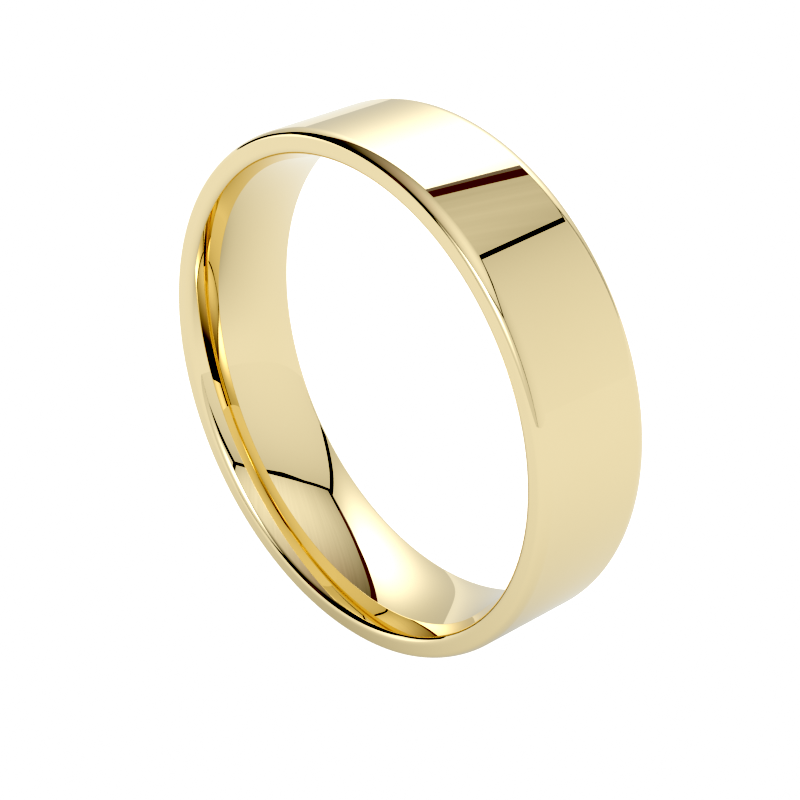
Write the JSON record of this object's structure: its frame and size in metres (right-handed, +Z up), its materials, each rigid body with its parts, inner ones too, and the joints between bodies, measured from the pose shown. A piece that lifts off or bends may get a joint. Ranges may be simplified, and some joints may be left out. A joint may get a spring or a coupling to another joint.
{
  "type": "wedding band",
  "caption": "Plain polished gold ring with a flat outside, softened edges and a domed comfort-fit inside, worn on a finger.",
  "frame": {"origin": "centre of the finger bore, midway along the band's width", "axes": "+Y along the bore axis, towards the back side face; +Z up with the ring standing on its rim; +X to the right seen from the front"},
  "size_m": [0.02, 0.005, 0.02],
  "materials": {
    "yellow_gold": "mirror polished yellow gold"
  },
  "bodies": {
    "root": {"band": "yellow_gold"}
  },
  "joints": []
}
